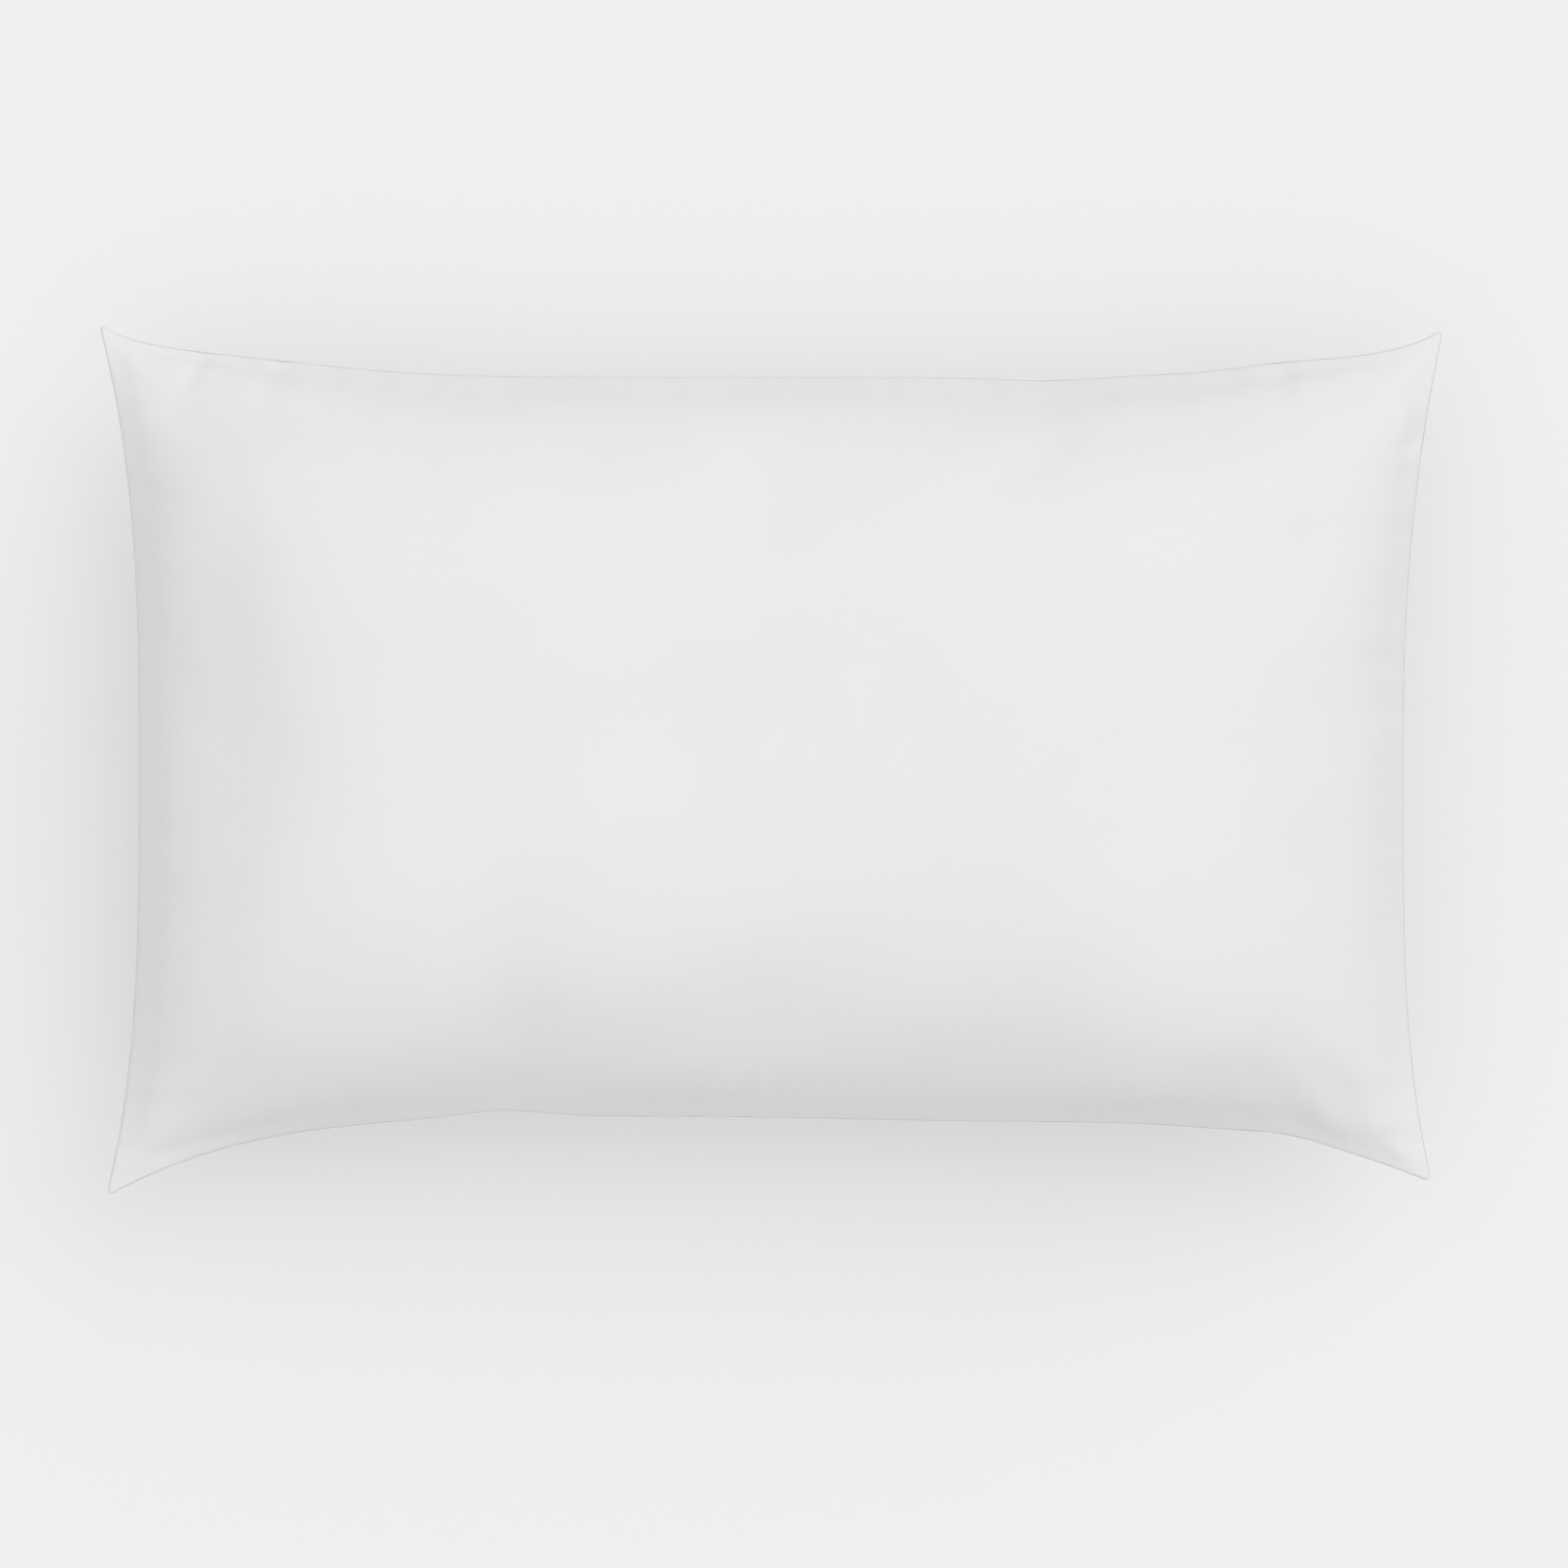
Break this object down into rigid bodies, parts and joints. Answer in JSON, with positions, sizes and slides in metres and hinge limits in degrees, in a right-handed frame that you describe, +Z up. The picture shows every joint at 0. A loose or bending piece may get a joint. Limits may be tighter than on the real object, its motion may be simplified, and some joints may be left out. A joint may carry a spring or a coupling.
{
  "type": "bed pillow",
  "caption": "White bed pillow lying flat: a knife-edge cotton cover with a hidden zip in its back, over an inner pillow of ticking and blown fibre.",
  "frame": {"origin": "middle of the pillow's plan, on the surface it rests on", "axes": "+Z up through the pillow's thickness, +X along its long side, +Y across it, away from the zip"},
  "size_m": [0.707, 0.455, 0.19],
  "materials": {
    "cover_cloth": "matte",
    "ticking_cloth": "matte",
    "fibre": "matte",
    "thread": "satin",
    "label_ribbon": "satin",
    "zip_tape": "matte",
    "zip_coil": "satin",
    "zip_metal": "satin",
    "spring_steel": "satin"
  },
  "bodies": {
    "root": {"cover_front_panel": "cover_cloth", "cover_back_panel": "cover_cloth", "cover_overlocked_seam": "thread", "cover_care_label": "label_ribbon", "zip_tape_upper": "zip_tape", "zip_tape_lower": "zip_tape", "zip_coil_upper": "zip_coil", "zip_coil_lower": "zip_coil", "zip_top_stops": "zip_metal", "zip_bottom_stop": "zip_metal", "zip_bar_tacks": "thread", "zip_stitching": "thread", "ticking_front_panel": "ticking_cloth", "ticking_back_panel": "ticking_cloth", "ticking_overlocked_seam": "thread", "ticking_closing_stitch": "thread", "ticking_label": "label_ribbon", "fibre_fill": "fibre"},
    "slider": {"zip_slider_body": "zip_metal", "zip_slider_cap": "zip_metal", "zip_lock_spring": "spring_steel"},
    "pull": {"zip_pull_tab": "zip_metal"}
  },
  "joints": [
    {"name": "zip_slide", "type": "slide", "parent": "root", "child": "slider", "axis": [1, 0, 0], "range_m": [-0.38, 0]},
    {"name": "pull_swing", "type": "hinge", "parent": "slider", "child": "pull", "pos_m": [0.1905, -0.18471, 0.06939], "axis": [0, -0.4226, 0.9063], "range_deg": [0, 175]}
  ]
}
